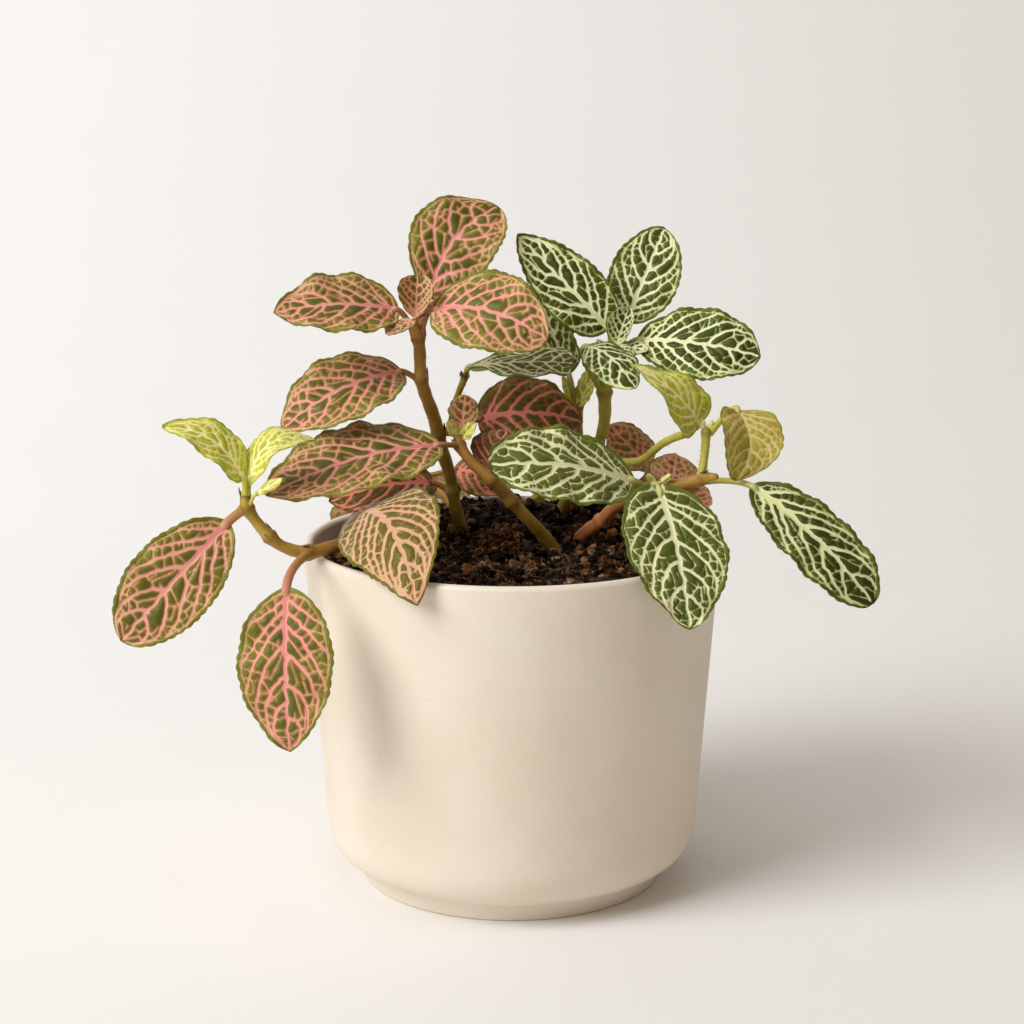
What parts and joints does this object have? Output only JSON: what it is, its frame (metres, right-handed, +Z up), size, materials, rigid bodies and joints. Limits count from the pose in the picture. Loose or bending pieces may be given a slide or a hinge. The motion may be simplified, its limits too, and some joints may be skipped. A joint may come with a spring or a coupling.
{
  "type": "potted nerve plant",
  "caption": "Pink-veined and white-veined nerve plants growing in soil in a round cream ceramic pot with a low foot; trailing stems hang over the rim.",
  "frame": {"origin": "middle of the pot's underside, on the surface it stands on", "axes": "+Z up along the pot's axis, -Y towards the front of the plant, +X to the right seen from the front"},
  "size_m": [0.2085, 0.1599, 0.1965],
  "materials": {
    "ceramic": "matt cream, very finely speckled, with a slight sheen at the lip",
    "soil": "damp dark brown peat with bark crumbs and fibres",
    "stem": "green to red-brown, matt, ringed at the nodes",
    "pink_leaf": "olive green with a raised net of pink veins, satin",
    "white_leaf": "dark green with a net of cream veins, satin",
    "young_leaf": "yellow-green with cream veins, satin"
  },
  "bodies": {
    "root": {"pot": "ceramic", "soil": "soil", "stem_pink_main": "stem", "stem_pink_fork": "stem", "stem_pink_low": "stem", "stem_trailing_left": "stem", "stem_trailing_right": "stem", "shoot_right": "stem", "stem_white_main": "stem", "stem_white_side": "stem", "stem_behind": "stem", "stem_pink_right": "stem", "stem_back_left": "stem", "stem_back_right": "stem", "leaf_pink_top_back": "pink_leaf", "leaf_pink_top_left": "pink_leaf", "leaf_pink_top_right": "pink_leaf", "leaf_pink_middle_left": "pink_leaf", "leaf_pink_dark_left": "pink_leaf", "leaf_pink_folded": "pink_leaf", "leaf_pink_front_left": "pink_leaf", "leaf_pink_small_upright": "pink_leaf", "leaf_pink_dark_right": "pink_leaf", "leaf_pink_dark_lower": "pink_leaf", "leaf_pale_over_rim": "pink_leaf", "leaf_pink_hanging": "pink_leaf", "leaf_pink_far_left": "pink_leaf", "leaf_young_left": "young_leaf", "leaf_young_right": "young_leaf", "leaf_young_small": "young_leaf", "leaf_pink_right_upper": "pink_leaf", "leaf_pink_right_middle": "pink_leaf", "leaf_pink_right_corner": "pink_leaf", "leaf_white_top_left": "white_leaf", "leaf_white_top_back": "white_leaf", "leaf_white_top_right": "white_leaf", "leaf_white_curled": "white_leaf", "leaf_white_behind": "white_leaf", "leaf_white_front": "white_leaf", "leaf_white_over_rim": "white_leaf", "leaf_white_far_right": "white_leaf", "leaf_young_twisted": "young_leaf", "leaf_young_nodding": "young_leaf", "leaf_back_1": "pink_leaf", "leaf_back_2": "pink_leaf", "leaf_back_3": "pink_leaf", "leaf_back_4": "pink_leaf", "leaf_back_5": "white_leaf", "leaf_back_6": "white_leaf", "leaf_back_7": "white_leaf", "leaf_back_8": "white_leaf", "leaf_back_9": "pink_leaf", "bud_pink_top": "pink_leaf", "bud_white_top": "white_leaf", "bud_trailing_right": "young_leaf", "bud_shoot_right": "young_leaf"}
  },
  "joints": []
}
